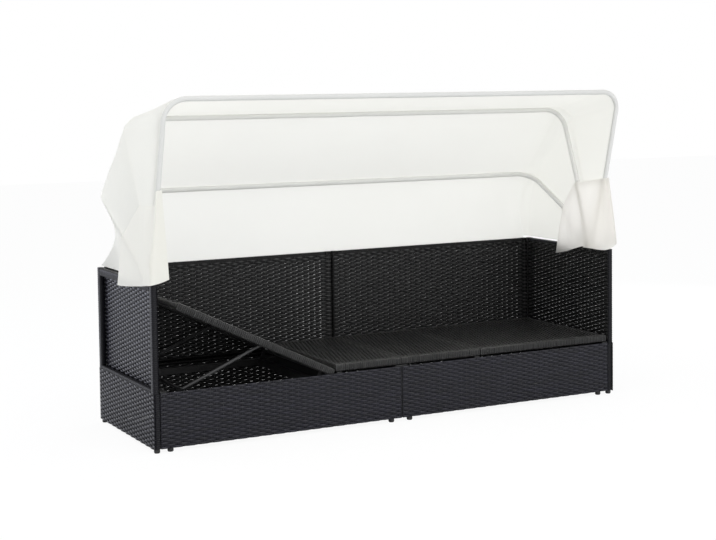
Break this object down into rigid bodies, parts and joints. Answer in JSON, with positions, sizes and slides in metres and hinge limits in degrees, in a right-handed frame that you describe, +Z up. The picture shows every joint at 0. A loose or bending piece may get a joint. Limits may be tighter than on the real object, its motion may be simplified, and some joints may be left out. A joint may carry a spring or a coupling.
{
  "type": "outdoor daybed with canopy",
  "caption": "Long woven outdoor daybed with a low back and sides, a seat whose ends lift on prop rods, and a cloth canopy on hinged bows that folds back.",
  "frame": {"origin": "on the floor, under the middle of the bed's overall box", "axes": "+X along the bed to its right end as seen from the front, +Y towards its back, +Z up"},
  "size_m": [2.0419, 0.6961, 1.2538],
  "materials": {
    "weave": "black half-round polyethylene strands, satin",
    "wrapped_frame": "black polyethylene strand wound round the frame, satin",
    "base_tube": "black powder coat",
    "rod_steel": "black powder coat, satin",
    "bow_steel": "off-white powder coat",
    "canopy_cloth": "plain woven polyester, off-white",
    "foot_plastic": "moulded, matt",
    "zinc_fastener": "zinc plated"
  },
  "bodies": {
    "bed": {"left_side_frame": "wrapped_frame", "left_side_upper_weave": "weave", "left_side_lower_weave": "weave", "left_back_frame": "wrapped_frame", "left_back_upper_weave": "weave", "left_back_lower_weave": "weave", "left_base_frame": "base_tube", "left_front_skirt": "weave", "left_fixed_seat_frame": "wrapped_frame", "left_fixed_seat_weave": "weave", "left_front_hinge_bolt": "zinc_fastener", "left_back_hinge_bolt": "zinc_fastener", "left_front_rest_bar": "rod_steel", "left_back_rest_bar": "rod_steel", "left_inner_front_foot": "foot_plastic", "left_inner_back_foot": "foot_plastic", "left_outer_front_foot": "foot_plastic", "left_outer_back_foot": "foot_plastic", "left_side_front_glide": "foot_plastic", "left_side_back_glide": "foot_plastic", "left_pivot_bracket": "bow_steel", "left_pivot_bolt": "zinc_fastener", "left_pivot_nut": "zinc_fastener", "right_side_frame": "wrapped_frame", "right_side_upper_weave": "weave", "right_side_lower_weave": "weave", "right_back_frame": "wrapped_frame", "right_back_upper_weave": "weave", "right_back_lower_weave": "weave", "right_base_frame": "base_tube", "right_front_skirt": "weave", "right_fixed_seat_frame": "wrapped_frame", "right_fixed_seat_weave": "weave", "right_front_hinge_bolt": "zinc_fastener", "right_back_hinge_bolt": "zinc_fastener", "right_front_rest_bar": "rod_steel", "right_back_rest_bar": "rod_steel", "right_inner_front_foot": "foot_plastic", "right_inner_back_foot": "foot_plastic", "right_outer_front_foot": "foot_plastic", "right_outer_back_foot": "foot_plastic", "right_side_front_glide": "foot_plastic", "right_side_back_glide": "foot_plastic", "right_pivot_bracket": "bow_steel", "right_pivot_bolt": "zinc_fastener", "right_pivot_nut": "zinc_fastener", "back_cloth": "canopy_cloth"},
    "left_lifter": {"left_lifter_frame": "wrapped_frame", "left_lifter_weave": "weave"},
    "left_prop": {"left_prop_rod": "rod_steel"},
    "right_lifter": {"right_lifter_frame": "wrapped_frame", "right_lifter_weave": "weave"},
    "right_prop": {"right_prop_rod": "rod_steel"},
    "rear_bow": {"rear_bow": "bow_steel", "rear_roof_cloth": "canopy_cloth"},
    "middle_bow": {"middle_bow": "bow_steel", "front_roof_cloth": "canopy_cloth", "left_flap_cloth": "canopy_cloth", "right_flap_cloth": "canopy_cloth"},
    "front_bow": {"front_bow": "bow_steel"}
  },
  "joints": [
    {"name": "left_end_lift", "type": "hinge", "parent": "bed", "child": "left_lifter", "pos_m": [-0.322, 0.04437, 0.232], "axis": [0, 1, 0], "range_deg": [-26, 19]},
    {"name": "left_prop_swing", "type": "hinge", "parent": "left_lifter", "child": "left_prop", "pos_m": [-0.56722, 0.04437, 0.3427], "axis": [0, -1, 0], "range_deg": [-48.1, 35.15]},
    {"name": "right_end_lift", "type": "hinge", "parent": "bed", "child": "right_lifter", "pos_m": [0.397, 0.04437, 0.232], "axis": [0, -1, 0], "range_deg": [0, 45]},
    {"name": "right_prop_swing", "type": "hinge", "parent": "right_lifter", "child": "right_prop", "pos_m": [0.63308, 0.04437, 0.224], "axis": [0, 1, 0], "range_deg": [0, 83.25]},
    {"name": "canopy_fold", "type": "hinge", "parent": "bed", "child": "rear_bow", "pos_m": [0, -0.17663, 0.621], "axis": [-1, 0, 0], "range_deg": [0, 28.4], "deforming": ["back_cloth"]},
    {"name": "middle_bow_fold", "type": "hinge", "parent": "rear_bow", "child": "middle_bow", "pos_m": [0, -0.17663, 0.621], "axis": [-1, 0, 0], "range_deg": [0, 37.21], "deforming": ["rear_roof_cloth", "left_flap_cloth", "right_flap_cloth"]},
    {"name": "front_bow_fold", "type": "hinge", "parent": "middle_bow", "child": "front_bow", "pos_m": [0, -0.17663, 0.621], "axis": [-1, 0, 0], "range_deg": [0, 31.01], "deforming": ["front_roof_cloth"]}
  ],
  "couplings": [
    {"joint": "left_prop_swing", "follows": "left_end_lift", "ratio": 1.85},
    {"joint": "right_prop_swing", "follows": "right_end_lift", "ratio": 1.85},
    {"joint": "middle_bow_fold", "follows": "canopy_fold", "ratio": 1.3102},
    {"joint": "front_bow_fold", "follows": "canopy_fold", "ratio": 1.0919}
  ]
}
